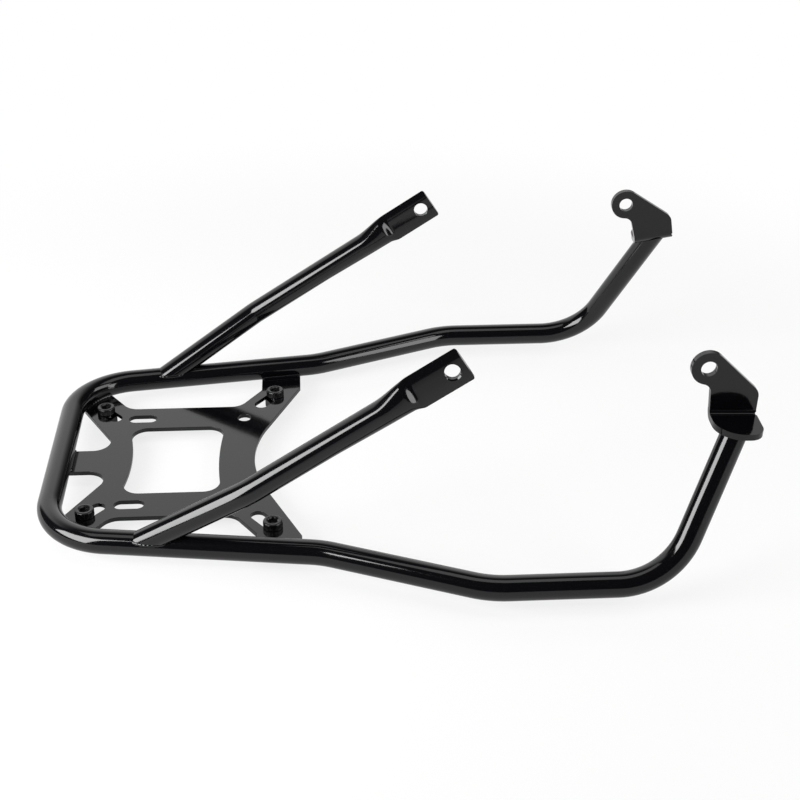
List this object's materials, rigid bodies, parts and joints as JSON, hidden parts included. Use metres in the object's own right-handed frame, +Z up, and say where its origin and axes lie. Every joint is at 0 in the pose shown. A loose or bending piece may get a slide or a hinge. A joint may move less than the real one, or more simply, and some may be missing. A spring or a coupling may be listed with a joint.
{
  "type": "motorcycle luggage rack",
  "caption": "Bent steel tube luggage rack with a slotted carrier plate, flattened tube stays and folded front brackets with bolt eyes, coated gloss black.",
  "frame": {"origin": "midway between the plate's two round holes, on the plate's upper face as pictured", "axes": "+X forward along the rack towards the bolt eyes, +Y to the left, +Z up, away from the load face"},
  "size_m": [0.4526, 0.348, 0.1575],
  "materials": {
    "black_coat": "gloss black powder coat",
    "black_screw": "black oxide",
    "zinc": "zinc plated"
  },
  "bodies": {
    "root": {"hoop_tube": "black_coat", "left_stay": "black_coat", "right_stay": "black_coat", "carrier_plate": "black_coat", "left_front_bracket": "black_coat", "right_front_bracket": "black_coat", "slot_screw_rear_left": "black_screw", "nut_rear_left": "zinc", "slot_screw_rear_right": "black_screw", "nut_rear_right": "zinc", "slot_screw_fore_left": "black_screw", "nut_fore_left": "zinc", "slot_screw_fore_right": "black_screw", "nut_fore_right": "zinc"}
  },
  "joints": []
}
